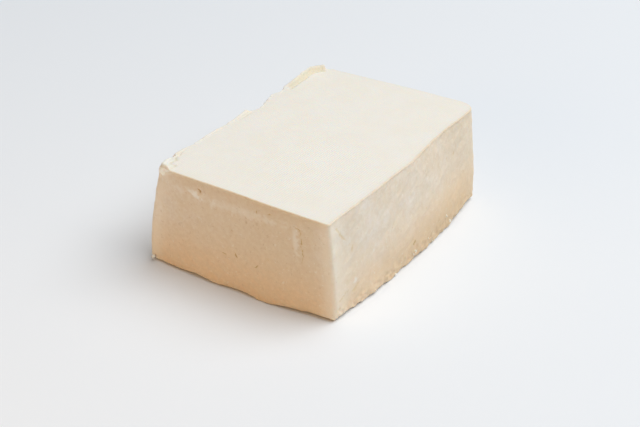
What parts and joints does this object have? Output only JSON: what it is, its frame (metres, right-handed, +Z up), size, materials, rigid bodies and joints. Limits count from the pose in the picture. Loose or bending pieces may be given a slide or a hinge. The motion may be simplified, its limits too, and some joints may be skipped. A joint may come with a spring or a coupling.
{
  "type": "tofu block",
  "caption": "Rectangular block of firm cotton tofu with a cloth-pressed top, cut sides, soft lower edges and torn skin along a long edge.",
  "frame": {"origin": "middle of the bounding box, on the flat base that the block stands on", "axes": "+X along the length, +Y across the width towards the edge with the torn skin, +Z up"},
  "size_m": [0.114, 0.0877, 0.0435],
  "materials": {
    "tofu": "moist, fine cloth imprint on top, smooth cut sides with pores"
  },
  "bodies": {
    "root": {"tofu_block": "tofu"}
  },
  "joints": []
}
